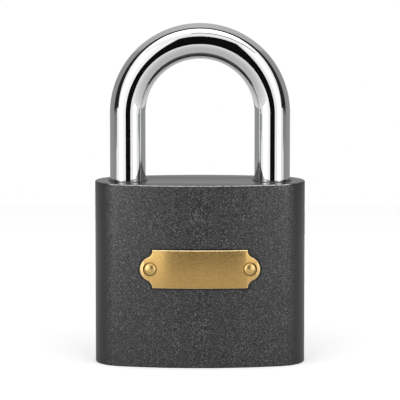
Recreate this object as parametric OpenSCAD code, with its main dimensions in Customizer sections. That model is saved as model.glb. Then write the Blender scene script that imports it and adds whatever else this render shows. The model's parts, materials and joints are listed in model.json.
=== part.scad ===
// Cast iron padlock with a round shackle, a pin tumbler plug and a riveted nameplate.
// X runs across the width, the front face looks towards -Y and +Z is up.
// The origin is at the middle of the bottom face. Sizes are in millimetres.
// The lock is drawn shut but not locked: the plug is turned and the bolt is drawn back.

/* [Body] */
// Width of the body
body_w = 75; // [62.5:0.5:92]
// Depth of the body at its middle
body_d = 30; // [27:0.5:38]
// Height of the body
body_h = 65.5; // [58:0.5:84]
// Radius of the body's two rounded ends
end_r = 11.5; // [10:0.1:12.5]

/* [Shackle] */
// Diameter of the shackle rod
rod_d = 12.7; // [10.5:0.1:14]
// Distance from the body's side to the middle of each leg
leg_inset = 11.75; // [11:0.05:14]
// Height of the arch's centre above the body
arch_rise = 24.2; // [16:0.1:60]
// Depth of the short leg in the body
toe_depth = 24; // [20:0.5:28]
// Height that the lifted short leg clears the body by
toe_clearance = 2; // [1:0.5:5]
// Thickness of the body's floor under the long leg
heel_floor = 4; // [3:0.5:6]
// Diameter of the pin that keeps the shackle in the body
keeper_d = 4; // [3:0.1:4.5]
// Depth of the flat and ring groove that the keeper pin runs in
keeper_groove = 2; // [1.6:0.1:2.4]
// Height of the collar below the ring groove
heel_collar = 2.8; // [2:0.1:5]

/* [Shackle spring] */
// Length of the spring under the long leg
shackle_spring_len = 9.5; // [7:0.5:14]
// Diameter of the spring's wire
shackle_wire_d = 1.2; // [0.8:0.1:1.4]
// Diameter of the spring's middle line
shackle_coil_d = 9.4; // [8:0.1:9.6]

/* [Bolt] */
// Diameter of the bolt
bolt_d = 8; // [6:0.1:9]
// Depth of the bolt's middle below the body's top
bolt_drop = 15.5; // [13:0.5:17]
// Distance that the bolt moves between drawn back and thrown
bolt_throw = 3.6; // [2.6:0.1:4]
// Length of the bolt behind the plug's middle
bolt_tail = 8; // [6:0.5:9]

/* [Plug] */
// Diameter of the plug
plug_d = 13; // [12:0.1:15.6]
// Height of the plug's face inside the body's bottom
plug_recess = 0.3; // [0.2:0.1:1]
// Width of the keyway
keyway_w = 2.2; // [1.6:0.1:2.6]
// Height of the keyway across the plug
keyway_h = 8; // [7:0.1:8.6]
// Thickness of the cam on top of the plug
cam_t = 3.4; // [2.5:0.1:5]
// Diameter of the cam's drive pin
drive_pin_d = 3; // [2.4:0.1:3.4]
// Length of the drive pin inside the bolt's slot
drive_pin_reach = 3; // [2:0.1:3.4]
// Diameter of the pin that keeps the plug in the body
plug_pin_d = 2.5; // [2:0.1:3]
// Height of the plug pin above the body's bottom
plug_pin_z = 4.5; // [4:0.1:5]
// Depth that the plug pin reaches into the plug's groove
plug_pin_bite = 1; // [0.6:0.1:1.2]

/* [Pin tumblers] */
// Number of pin stacks, one node for each piece of a stack
stacks = 5; // [5]
// Height of the first stack above the body's bottom
first_stack_z = 8.5; // [8.5:0.5:10]
// Distance from one stack to the next
stack_pitch = 4; // [3.8:0.1:4.4]
// Diameter of the tumbler pins
tumbler_d = 3; // [2.4:0.1:3.2]
// Length of each driver pin
driver_len = 3.2; // [2.5:0.1:3.4]
// Length of the shortest key pin
key_pin_len = 4.4; // [4:0.1:4.8]
// Step in length from one key cut to the next
key_pin_step = 0.4; // [0.2:0.05:0.4]
// Thickness of the caps that close the chambers
chamber_cap_t = 1.8; // [1.2:0.1:2]
// Diameter of the wire of the pin springs
pin_wire_d = 0.4; // [0.3:0.05:0.5]

/* [Nameplate] */
// Length of the nameplate between its round ends
plate_l = 42.9; // [36:0.1:46]
// Height of the nameplate
plate_h = 13.8; // [12:0.1:18]
// Thickness of the nameplate
plate_t = 0.8; // [0.5:0.1:1.2]
// Height of the nameplate's middle above the body's bottom
plate_z = 35.6; // [24:0.1:44]
// Radius of the nameplate's round ends
plate_end_r = 4.57; // [3.8:0.01:5]
// Radius of the hollow cut from each corner
plate_cove_r = 3; // [2:0.1:3.6]
// Length of the straight top and bottom edges
plate_straight_l = 34; // [28:0.1:34]
// Distance between the two rivets
rivet_spacing = 35.6; // [30:0.1:36]
// Diameter of the rivet heads
rivet_head_d = 4.7; // [3.6:0.1:5]
// Height of the rivet heads
rivet_head_h = 1.2; // [0.8:0.1:1.4]
// Diameter of the rivet shanks
rivet_shank_d = 2.4; // [1.8:0.1:2.8]
// Length of the rivet shanks below the plate
rivet_shank_l = 5; // [3:0.5:6]

/* [Clearances] */
// Gap round each shackle leg
leg_gap = 0.3; // [0.2:0.05:0.4]
// Gap round the bolt
bolt_gap = 0.1; // [0.05:0.05:0.2]
// Gap above and below the bolt in the shackle's notch
notch_gap = 1; // [0.6:0.1:1.4]
// Gap round the plug and the tumbler pins
running_gap = 0.05; // [0.03:0.01:0.1]
// Gap round pieces that are pressed in
seat_gap = 0.03; // [0.01:0.01:0.05]
// Gap between pieces that move past each other without touching
free_gap = 0.3; // [0.2:0.05:0.4]

/* [Hidden] */
$fn = 96;

iron = [0.27, 0.27, 0.28];
chrome = [0.86, 0.87, 0.88];
brass = [0.72, 0.56, 0.32];
steel = [0.62, 0.63, 0.65];

// Body outline: two wide faces that run smoothly into two round ends
half_w = body_w / 2;
half_d = body_d / 2;
end_x = half_w - end_r;
face_r = (end_x ^ 2 + half_d ^ 2 - end_r ^ 2) / (2 * (half_d - end_r));
face_cy = face_r - half_d;
tangent_x = end_x * face_r / (face_r - end_r);
mouth_chamfer = 0.6;
cut = 1;

// Shackle
rod_r = rod_d / 2;
leg_x = half_w - leg_inset;
leg_bore_r = rod_r + leg_gap;
lift = toe_depth + toe_clearance;
toe_end_z = body_h - toe_depth;
heel_end_z = heel_floor + shackle_spring_len + 2 * seat_gap;
arch_z = body_h + arch_rise;
leg_tip_chamfer = 1;
keeper_r = keeper_d / 2;
groove_gap = 0.2;
ring_groove_h = keeper_d + 2 * groove_gap;
ring_groove_z = heel_end_z + heel_collar;
keeper_z = ring_groove_z + ring_groove_h / 2 + lift;
flat_top_z = keeper_z + keeper_r + 2 * groove_gap;
flat_x = leg_x - rod_r + keeper_groove;
keeper_x = flat_x - groove_gap - keeper_r;
keeper_front_y = -9;

// Bolt and its drive
bolt_r = bolt_d / 2;
bolt_bore_r = bolt_r + bolt_gap;
bolt_z = body_h - bolt_drop;
bolt_nose_x = leg_x - leg_bore_r - bolt_gap;
bolt_tail_x = -bolt_tail;
bolt_bore_tail_x = bolt_tail_x - 2 * free_gap;
notch_x = bolt_nose_x + bolt_throw + free_gap;
notch_h = bolt_d + 2 * notch_gap;
half_turn = 45;
open_turn = 2 * half_turn;
drive_r = bolt_throw / (2 * sin(half_turn));
slot_gap = 0.15;
slot_w = drive_pin_d + 2 * slot_gap;
slot_top_z = bolt_z - bolt_r + drive_pin_reach + free_gap;
cam_top_z = bolt_z - bolt_r - 2.5;
cam_well_r = drive_r + drive_pin_d / 2 + 0.5;
bolt_plug_x = leg_x + leg_bore_r + 0.2;

// Plug
plug_r = plug_d / 2;
plug_bore_r = plug_r + running_gap;
plug_top_z = cam_top_z - cam_t;
cam_r = plug_r - 0.5;
tang_l = 9;
tang_w = 3;
tang_h = 2;
plug_pin_r = plug_pin_d / 2;
plug_pin_x = plug_r + plug_pin_r - plug_pin_bite;
plug_pin_front_y = -4;
plug_groove_r = plug_r - plug_pin_bite - 0.15;
plug_groove_h = plug_pin_d + 2 * slot_gap;
keyway_top_y = 3.4;
ward_w = 0.8;
ward_h = 1.2;

// Pin tumblers, in chambers that run back from the plug
tumbler_r = tumbler_d / 2;
chamber_r = tumbler_r + running_gap;
chamber_floor_y = 0.3;
shear_y = plug_bore_r + running_gap;
key_pin_top_y = sqrt((plug_r - running_gap) ^ 2 - tumbler_r ^ 2);
key_code = [1, 3, 0, 2, 1];
key_pin_tip = 0.9;
last_stack_z = first_stack_z + (stacks - 1) * stack_pitch;
keyway_top_z = last_stack_z + chamber_r + 0.4;
pin_spring_y = shear_y + driver_len + seat_gap;
pin_spring_len = half_d - chamber_cap_t - seat_gap - pin_spring_y;
pin_coil_d = tumbler_d - pin_wire_d - 0.3;

// Nameplate, bent to the front face
plate_gap = 0.1;
plate_in_r = face_r + plate_gap;
plate_out_r = plate_in_r + plate_t;
plate_end_x = plate_l / 2 - plate_end_r;
cove_x = plate_straight_l / 2 + plate_cove_r;
cove_chord = plate_end_r * 0.92;
plate_mid_half_l = plate_end_x + sqrt(plate_end_r ^ 2 - cove_chord ^ 2);
rivet_r = rivet_shank_d / 2;
rivet_turn = asin(rivet_spacing / 2 / plate_out_r);
head_cap_r = ((rivet_head_d / 2) ^ 2 + rivet_head_h ^ 2) / (2 * rivet_head_h);

// Rings of points along a coil whose axis is Z, from the floor of its first turn
function coil_ring(mean_r, wire_r, sides, angle, z) = [
    for (s = [0:sides - 1])
        let (around = 360 * s / sides, reach = mean_r + wire_r * cos(around))
            [reach * cos(angle), reach * sin(angle), z + wire_r * sin(around)]
];

function coil_points(mean_r, wire_r, length, turns, sides, steps) = [
    for (i = [0:turns * steps])
        each coil_ring(
            mean_r, wire_r, sides, 360 * i / steps,
            wire_r + (length - 2 * wire_r) * i / (turns * steps)
        )
];

function coil_wall(rings, sides) = [
    for (i = [0:rings - 2], s = [0:sides - 1])
        let (a = i * sides + s, b = i * sides + (s + 1) % sides)
            each [[a, a + sides, b], [b, a + sides, b + sides]]
];

function coil_caps(rings, sides) = [
    [for (s = [0:sides - 1]) s],
    [for (s = [0:sides - 1]) rings * sides - 1 - s],
];

// A coil spring that stands on Z = 0, with as many turns as its length takes
module coil_spring(coil_d, wire_d, length, sides, steps) {
    turns = floor((length - wire_d) / (1.12 * wire_d));
    rings = turns * steps + 1;
    polyhedron(
        coil_points(coil_d / 2, wire_d / 2, length, turns, sides, steps),
        concat(coil_wall(rings, sides), coil_caps(rings, sides))
    );
}

// The body's outline seen from above
module outline() {
    intersection() {
        translate([0, face_cy]) circle(face_r, $fn = 4 * $fn);
        translate([0, -face_cy]) circle(face_r, $fn = 4 * $fn);
        square([2 * tangent_x, 2 * body_d], center = true);
    }
    for (side = [-1, 1]) translate([side * end_x, 0]) circle(end_r);
}

module envelope() {
    linear_extrude(body_h) outline();
}

// A round bar along Y, from y0 to y1
module bar_y(x, z, r, y0, y1) {
    translate([x, y0, z]) rotate([-90, 0, 0]) cylinder(r = r, h = y1 - y0);
}

// A round bar along X, from x0 to x1
module bar_x(z, r, x0, x1) {
    translate([x0, 0, z]) rotate([0, 90, 0]) cylinder(r = r, h = x1 - x0);
}

// Lays children, drawn round the origin and facing -Y, on the nameplate's face
module on_plate(turn) {
    translate([0, face_cy, plate_z]) rotate([0, 0, turn]) translate([0, -plate_out_r, 0]) children();
}

module leg_bore(x, floor_z) {
    translate([x, 0, floor_z]) cylinder(r = leg_bore_r, h = body_h - floor_z + cut);
    translate([x, 0, body_h - mouth_chamfer])
        cylinder(r1 = leg_bore_r, r2 = leg_bore_r + mouth_chamfer + cut, h = mouth_chamfer + cut);
}

module plug_bores() {
    translate([0, 0, -cut]) cylinder(r = plug_bore_r, h = cam_top_z + 2 * free_gap + cut);
    cylinder(r = cam_well_r, h = bolt_z);
    bar_y(plug_pin_x, plug_pin_z, plug_pin_r + seat_gap, plug_pin_front_y - seat_gap, body_d);
    for (i = [0:stacks - 1]) bar_y(0, stack_z(i), chamber_r, 0, body_d);
}

module body_casting() {
    color(iron) difference() {
        envelope();
        leg_bore(leg_x, toe_end_z - free_gap);
        leg_bore(-leg_x, heel_floor);
        bar_x(bolt_z, bolt_bore_r, bolt_bore_tail_x, body_w);
        bar_y(-keeper_x, keeper_z, keeper_r + seat_gap, keeper_front_y - seat_gap, body_d);
        plug_bores();
        for (side = [-1, 1])
            on_plate(side * rivet_turn)
                bar_y(0, 0, rivet_r + seat_gap, -cut, plate_t + rivet_shank_l + free_gap);
    }
}

module plate_outline() {
    difference() {
        square([2 * plate_mid_half_l, plate_h], center = true);
        for (sx = [-1, 1], sy = [-1, 1]) translate([sx * cove_x, sy * plate_h / 2]) circle(plate_cove_r);
    }
    for (side = [-1, 1]) translate([side * plate_end_x, 0]) circle(plate_end_r);
}

module nameplate() {
    color(brass) difference() {
        intersection() {
            translate([0, 0, plate_z]) rotate([90, 0, 0]) linear_extrude(body_d) plate_outline();
            translate([0, face_cy, 0]) difference() {
                cylinder(r = plate_out_r, h = body_h, $fn = 4 * $fn);
                translate([0, 0, -cut]) cylinder(r = plate_in_r, h = body_h + 2 * cut, $fn = 4 * $fn);
            }
        }
        for (side = [-1, 1])
            on_plate(side * rivet_turn) bar_y(0, 0, rivet_r + seat_gap, -cut, plate_t + cut);
    }
}

// A rivet with a domed head on the plate and a plain shank in the body
module rivet(side) {
    color(brass) on_plate(side * rivet_turn) {
        intersection() {
            translate([0, head_cap_r - rivet_head_h - seat_gap, 0]) sphere(head_cap_r);
            bar_y(0, 0, rivet_head_d, -rivet_head_h - cut, -seat_gap);
        }
        bar_y(0, 0, rivet_r, -seat_gap, plate_t + rivet_shank_l);
    }
}

module leg(x, end_z) {
    translate([x, 0, end_z + leg_tip_chamfer]) cylinder(r = rod_r, h = arch_z - end_z - leg_tip_chamfer);
    translate([x, 0, end_z]) cylinder(r1 = rod_r - leg_tip_chamfer, r2 = rod_r, h = leg_tip_chamfer);
}

module shackle() {
    color(chrome) difference() {
        union() {
            translate([0, 0, arch_z]) rotate([90, 0, 0]) rotate_extrude(angle = 180)
                translate([leg_x, 0]) circle(rod_r);
            leg(leg_x, toe_end_z);
            leg(-leg_x, heel_end_z);
        }
        // Notch that the bolt is thrown into
        translate([leg_x - rod_r - cut, -rod_r - cut, bolt_z - notch_h / 2])
            cube([notch_x - leg_x + rod_r + cut, 2 * (rod_r + cut), notch_h]);
        // Flat that slides past the keeper pin, and ring groove that lets the lifted shackle turn
        translate([-flat_x, -rod_r - cut, ring_groove_z])
            cube([keeper_groove + cut, 2 * (rod_r + cut), flat_top_z - ring_groove_z]);
        translate([-leg_x, 0, ring_groove_z]) difference() {
            cylinder(r = rod_r + cut, h = ring_groove_h);
            translate([0, 0, -cut]) cylinder(r = rod_r - keeper_groove, h = ring_groove_h + 2 * cut);
        }
    }
}

module shackle_spring() {
    color(steel) translate([-leg_x, 0, heel_floor + seat_gap])
        coil_spring(shackle_coil_d, shackle_wire_d, shackle_spring_len, sides = 8, steps = 16);
}

module shackle_keeper_pin() {
    color(steel) intersection() {
        bar_y(-keeper_x, keeper_z, keeper_r, keeper_front_y, body_d);
        envelope();
    }
}

module bolt() {
    color(steel) difference() {
        bar_x(bolt_z, bolt_r, bolt_tail_x, bolt_nose_x);
        translate([-bolt_throw / 2 - slot_w / 2, -body_d / 2, bolt_z - bolt_r - cut])
            cube([slot_w, body_d, slot_top_z - bolt_z + bolt_r + cut]);
    }
}

module bolt_bore_plug() {
    color(iron) intersection() {
        bar_x(bolt_z, bolt_bore_r - seat_gap, bolt_plug_x, body_w);
        envelope();
    }
}

// The keyway with a ward on each side, drawn with its pins towards +Y
module keyway() {
    difference() {
        translate([-keyway_w / 2, keyway_top_y - keyway_h]) square([keyway_w, keyway_h]);
        translate([-keyway_w / 2 - cut, keyway_top_y - keyway_h / 2]) square([ward_w + cut, ward_h]);
        translate([keyway_w / 2 - ward_w, keyway_top_y - keyway_h / 2 - 2 * ward_h])
            square([ward_w + cut, ward_h]);
    }
}

module key_plug() {
    color(brass) rotate([0, 0, open_turn]) difference() {
        translate([0, 0, plug_recess]) cylinder(r = plug_r, h = plug_top_z - plug_recess);
        linear_extrude(keyway_top_z) keyway();
        for (i = [0:stacks - 1]) bar_y(0, stack_z(i), chamber_r, chamber_floor_y, plug_d);
        translate([0, 0, plug_pin_z - plug_groove_h / 2]) difference() {
            cylinder(r = plug_d, h = plug_groove_h);
            translate([0, 0, -cut]) cylinder(r = plug_groove_r, h = plug_groove_h + 2 * cut);
        }
        translate([-tang_w / 2 - seat_gap, -tang_l / 2 - seat_gap, plug_top_z - tang_h - seat_gap])
            cube([tang_w + 2 * seat_gap, tang_l + 2 * seat_gap, tang_h + cut]);
    }
}

// The cam sits on the plug with a tang in its slot, and its pin drives the bolt
module plug_cam() {
    color(steel) rotate([0, 0, open_turn]) {
        translate([0, 0, plug_top_z]) cylinder(r = cam_r, h = cam_t);
        translate([-tang_w / 2, -tang_l / 2, plug_top_z - tang_h]) cube([tang_w, tang_l, tang_h + cut]);
        rotate([0, 0, half_turn]) translate([drive_r, 0, plug_top_z + cam_t / 2])
            cylinder(d = drive_pin_d, h = bolt_z - bolt_r + drive_pin_reach - plug_top_z - cam_t / 2);
    }
}

module plug_keeper_pin() {
    color(steel) intersection() {
        bar_y(plug_pin_x, plug_pin_z, plug_pin_r, plug_pin_front_y, body_d);
        envelope();
    }
}

function stack_z(i) = first_stack_z + i * stack_pitch;

// A key pin with a blunt cone at its tip, carried round by the plug
module key_pin(i) {
    length = key_pin_len + key_code[i] * key_pin_step;
    color(brass) rotate([0, 0, open_turn]) translate([0, key_pin_top_y, stack_z(i)]) rotate([90, 0, 0]) {
        cylinder(r = tumbler_r, h = length - key_pin_tip);
        translate([0, 0, length - key_pin_tip])
            cylinder(r1 = tumbler_r, r2 = tumbler_r - key_pin_tip, h = key_pin_tip);
    }
}

module driver_pin(i) {
    color(steel) bar_y(0, stack_z(i), tumbler_r, shear_y, shear_y + driver_len);
}

module pin_spring(i) {
    color(steel) translate([0, pin_spring_y, stack_z(i)]) rotate([-90, 0, 0])
        coil_spring(pin_coil_d, pin_wire_d, pin_spring_len, sides = 6, steps = 12);
}

module chamber_cap(i) {
    color(iron) intersection() {
        bar_y(0, stack_z(i), chamber_r - seat_gap, half_d - chamber_cap_t, body_d);
        envelope();
    }
}

body_casting();
nameplate();
rivet(-1);  // rivet_left
rivet(1);  // rivet_right
shackle();
shackle_spring();
shackle_keeper_pin();
bolt();
bolt_bore_plug();
key_plug();
plug_cam();
plug_keeper_pin();
for (i = [0:stacks - 1]) {
    key_pin(i);
    driver_pin(i);
    pin_spring(i);
    chamber_cap(i);
}
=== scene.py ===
"""Looks of a cast iron padlock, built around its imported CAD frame.

Everything is in metres in the frame of the CAD part: X runs across the width, the front face looks
towards -Y, +Z is up, and the origin is at the middle of the bottom face.
"""

import json
import logging
import math
from collections.abc import Iterable, Sequence
from dataclasses import dataclass
from enum import Enum

import bmesh
import bpy
from mathutils import Matrix, Vector, noise


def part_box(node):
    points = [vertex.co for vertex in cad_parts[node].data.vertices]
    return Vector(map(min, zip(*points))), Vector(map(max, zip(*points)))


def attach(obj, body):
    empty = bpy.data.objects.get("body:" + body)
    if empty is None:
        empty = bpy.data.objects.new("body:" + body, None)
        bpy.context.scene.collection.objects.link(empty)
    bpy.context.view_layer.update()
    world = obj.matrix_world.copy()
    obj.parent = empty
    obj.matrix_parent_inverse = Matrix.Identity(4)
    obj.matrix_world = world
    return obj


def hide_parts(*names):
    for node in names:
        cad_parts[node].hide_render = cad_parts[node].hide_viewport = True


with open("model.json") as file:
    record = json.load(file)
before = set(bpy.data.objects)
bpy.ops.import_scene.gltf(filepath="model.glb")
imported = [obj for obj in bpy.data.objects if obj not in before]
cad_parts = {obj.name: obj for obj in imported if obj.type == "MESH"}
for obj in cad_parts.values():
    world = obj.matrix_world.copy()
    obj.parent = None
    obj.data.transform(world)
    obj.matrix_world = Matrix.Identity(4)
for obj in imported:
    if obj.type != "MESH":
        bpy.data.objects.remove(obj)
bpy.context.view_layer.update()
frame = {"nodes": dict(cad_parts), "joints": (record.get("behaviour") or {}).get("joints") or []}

MM = 0.001
END_RADIUS = 11.5 * MM
RIVET_SPACING = 35.6 * MM
PLATE_PROUD = 0.895 * MM
TOE_END = 41.5 * MM
SHACKLE_WIRE = 0.6 * MM
PIN_WIRE = 0.2 * MM
COILS = 6
LOG = logging.getLogger("padlock")

Colour = tuple[float, float, float]
Profile = Sequence[tuple[float, float]]


class Side(Enum):
    """The two sides of the lock, as seen from the front."""

    LEFT = -1
    RIGHT = 1


class Axis(Enum):
    """The way that a turned or drilled shape runs."""

    X = "X"
    Y = "Y"
    Z = "Z"

    def turn(self) -> Matrix:
        """The rotation that lays a shape drawn along Z along this axis."""
        if self is Axis.X:
            return Matrix.Rotation(math.pi / 2, 4, "Y")
        if self is Axis.Y:
            return Matrix.Rotation(-math.pi / 2, 4, "X")
        return Matrix.Identity(4)


class Graph:
    """Builds a shader or geometry node tree, one node at a time."""

    def __init__(self, tree: bpy.types.NodeTree) -> None:
        """Starts on a tree.

        Args:
            tree: The node tree to fill.
        """
        self.tree = tree

    def node(self, kind: str, inputs: dict | None = None, **settings: object) -> bpy.types.Node:
        """Adds a node.

        Args:
            kind: The node's type name.
            inputs: A value or an output socket for each input, by the input's name or number.
            settings: Properties of the node.

        Returns:
            The new node.
        """
        made = self.tree.nodes.new(kind)
        for name, value in settings.items():
            setattr(made, name, value)
        for key, value in (inputs or {}).items():
            if isinstance(value, bpy.types.NodeSocket):
                self.tree.links.new(value, made.inputs[key])
            else:
                made.inputs[key].default_value = value
        return made

    def math(self, operation: str, *values: object) -> bpy.types.NodeSocket:
        """Adds a Math node and returns its result.

        Args:
            operation: The operation's name, such as "ADD".
            values: Numbers or sockets, in order.
        """
        made = self.node("ShaderNodeMath", dict(enumerate(values)), operation=operation)
        return made.outputs[0]

    def mix(self, factor: object, low: object, high: object) -> bpy.types.NodeSocket:
        """Mixes two colours and returns the result.

        Args:
            factor: How much of the second colour there is.
            low: The first colour.
            high: The second colour.
        """
        made = self.node("ShaderNodeMix", {0: factor, 6: low, 7: high}, data_type="RGBA")
        return made.outputs[2]

    def spread(
        self, value: object, low: float, high: float, to_low: float, to_high: float
    ) -> bpy.types.NodeSocket:
        """Maps one range of numbers to another, clamped, and returns the result."""
        made = self.node("ShaderNodeMapRange", {0: value, 1: low, 2: high, 3: to_low, 4: to_high})
        return made.outputs[0]


class Finish:
    """A material with a procedural surface. Each subclass is one finish of the lock."""

    name: str = "finish"

    def build(self) -> bpy.types.Material:
        """Makes the material, or returns it if it is already made."""
        made = bpy.data.materials.get(self.name)
        if made is not None:
            return made
        made = bpy.data.materials.new(self.name)
        made.use_nodes = True
        graph = Graph(made.node_tree)
        shader = made.node_tree.nodes["Principled BSDF"]
        place = graph.node("ShaderNodeTexCoord").outputs["Object"]
        self.dress(graph, shader, place)
        return made

    def dress(self, graph: Graph, shader: bpy.types.Node, place: bpy.types.NodeSocket) -> None:
        """Sets the shader up.

        Args:
            graph: The material's node tree.
            shader: Its Principled BSDF.
            place: Object coordinates, in metres.
        """
        raise NotImplementedError

    def stretched(self, graph: Graph, place: bpy.types.NodeSocket, scale: Colour) -> bpy.types.NodeSocket:
        """Scales object coordinates by a different amount along each axis."""
        return graph.node("ShaderNodeMapping", {0: place, 3: scale}).outputs[0]

    def grain(
        self, graph: Graph, place: bpy.types.NodeSocket, size: float, detail: float = 2.0
    ) -> bpy.types.NodeSocket:
        """Adds a noise whose lumps are about the given size and returns its value.

        Args:
            graph: The material's node tree.
            place: Coordinates to read the noise at.
            size: Size of a lump in metres.
            detail: Number of finer octaves.
        """
        made = graph.node("ShaderNodeTexNoise", {0: place, 2: 1 / size, 3: detail, 4: 0.55})
        return made.outputs[0]

    def bump(self, graph: Graph, height: object, depth: float, strength: float) -> bpy.types.NodeSocket:
        """Adds a bump and returns its normal.

        Args:
            graph: The material's node tree.
            height: The height, from 0 to 1.
            depth: The depth in metres that a height of 1 stands for.
            strength: How strongly the bump shows.
        """
        return graph.node("ShaderNodeBump", {0: strength, 1: depth, 3: height}).outputs[0]


@dataclass(frozen=True)
class SpeckledEnamel(Finish):
    """Dark grey enamel over a sand casting, with pale flecks and dark pits on its wide faces."""

    name: str = "speckled_enamel"
    pit: Colour = (0.003, 0.003, 0.004)
    ground: Colour = (0.020, 0.020, 0.021)
    fleck: Colour = (0.140, 0.140, 0.142)
    # Pale colour painted on the upper edges as a painted highlight, standing in for the overhead lamp's
    # glint.
    edge_glint: Colour = (0.76, 0.76, 0.765)
    fleck_size: float = 0.37 * MM
    patch_size: float = 9 * MM
    mouths: float = 9 * MM
    roughness: float = 0.25
    gloss: float = 0.60
    grain_depth: float = 0.09 * MM

    def dress(self, graph: Graph, shader: bpy.types.Node, place: bpy.types.NodeSocket) -> None:
        """Sets the shader up: grain that fades on the ends, top and bottom, and a painted highlight along the
        upper edges.
        """
        fine = self.grain(graph, place, self.fleck_size)
        patch = self.grain(graph, place, self.patch_size)
        facing = graph.node("ShaderNodeNewGeometry").outputs["Normal"]
        facing = graph.node("ShaderNodeSeparateXYZ", {0: facing})
        sideways = graph.spread(graph.math("ABSOLUTE", facing.outputs[0]), 0.54, 0.73, 1.0, 0.10)
        upright = graph.spread(graph.math("ABSOLUTE", facing.outputs[2]), 0.75, 0.95, 1.0, 0.02)
        shown = graph.math("MULTIPLY", sideways, upright)
        strength = graph.math("MULTIPLY", shown, graph.spread(patch, 0.35, 0.65, 0.80, 1.0))
        pale = graph.math("MULTIPLY", graph.spread(fine, 0.50, 0.62, 0.0, 1.0), strength)
        dark = graph.math("MULTIPLY", graph.spread(fine, 0.49, 0.39, 0.0, 1.0), strength)
        colour = graph.mix(pale, (*self.ground, 1), (*self.fleck, 1))
        colour = graph.mix(dark, colour, (*self.pit, 1))
        # Painted highlight: the pale colour goes on the upper edges of the front and back, where the overhead
        # lamp's glint falls, broken up by the grain.
        edge = graph.math("MULTIPLY", graph.spread(facing.outputs[2], 0.20, 0.40, 0.0, 1.0), sideways)
        edge = graph.math("MULTIPLY", edge, graph.spread(facing.outputs[2], 0.80, 0.92, 1.0, 0.0))
        edge = graph.math("MULTIPLY", edge, graph.spread(fine, 0.35, 0.62, 0.15, 1.0))
        depth = graph.math("ABSOLUTE", graph.node("ShaderNodeSeparateXYZ", {0: place}).outputs[1])
        edge = graph.math("MULTIPLY", edge, graph.spread(depth, self.mouths, self.mouths + MM, 0.0, 1.0))
        colour = graph.mix(edge, colour, (*self.edge_glint, 1))
        graph.tree.links.new(colour, shader.inputs["Base Color"])
        facets = graph.math("MULTIPLY", fine, shown)
        rough = graph.spread(facets, 0.35, 0.65, self.roughness + 0.05, self.roughness - 0.05)
        graph.tree.links.new(rough, shader.inputs["Roughness"])
        height = graph.math("MULTIPLY", fine, strength)
        graph.tree.links.new(self.bump(graph, height, self.grain_depth, 0.7), shader.inputs["Normal"])
        shader.inputs["Specular IOR Level"].default_value = self.gloss


@dataclass(frozen=True)
class BrightChrome(Finish):
    """Polished chrome with a trace of polishing marks."""

    name: str = "bright_chrome"
    colour: Colour = (0.80, 0.805, 0.815)

    def dress(self, graph: Graph, shader: bpy.types.Node, place: bpy.types.NodeSocket) -> None:
        """Sets the shader up."""
        smear = self.grain(graph, place, 6 * MM)
        dimmed = tuple(0.96 * part for part in self.colour)
        graph.tree.links.new(graph.mix(smear, (*dimmed, 1), (*self.colour, 1)), shader.inputs["Base Color"])
        shader.inputs["Metallic"].default_value = 1
        graph.tree.links.new(graph.spread(smear, 0.3, 0.7, 0.03, 0.06), shader.inputs["Roughness"])
        marks = self.grain(graph, self.stretched(graph, place, (1, 1, 0.05)), 0.3 * MM)
        graph.tree.links.new(self.bump(graph, marks, 0.001 * MM, 0.1), shader.inputs["Normal"])


@dataclass(frozen=True)
class Brass(Finish):
    """Brass with fine marks that run one way."""

    name: str = "brass"
    colour: Colour = (0.66, 0.43, 0.17)
    dull: Colour = (0.52, 0.34, 0.14)
    roughness: float = 0.34
    marks: Colour = (0.03, 1, 1)
    mark_size: float = 0.12 * MM
    mark_depth: float = 0.012 * MM

    def dress(self, graph: Graph, shader: bpy.types.Node, place: bpy.types.NodeSocket) -> None:
        """Sets the shader up."""
        lines = self.grain(graph, self.stretched(graph, place, self.marks), self.mark_size, 3)
        haze = self.grain(graph, place, 7 * MM)
        tone = graph.math("ADD", graph.spread(haze, 0.3, 0.7, 0, 0.6), graph.spread(lines, 0.3, 0.7, 0, 0.4))
        colour = graph.mix(tone, (*self.colour, 1), (*self.dull, 1))
        rough = graph.spread(lines, 0.3, 0.7, self.roughness - 0.05, self.roughness + 0.05)
        colour, rough = self.paint_light_and_polish(graph, colour, rough)
        graph.tree.links.new(colour, shader.inputs["Base Color"])
        shader.inputs["Metallic"].default_value = 1
        graph.tree.links.new(rough, shader.inputs["Roughness"])
        graph.tree.links.new(self.bump(graph, lines, self.mark_depth, 0.4), shader.inputs["Normal"])

    def paint_light_and_polish(self, graph: Graph, colour: object, rough: object) -> tuple[object, object]:
        """Changes the colour and roughness where light is painted on or the finish is polished. Plain brass
        has neither.
        """
        return colour, rough


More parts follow.
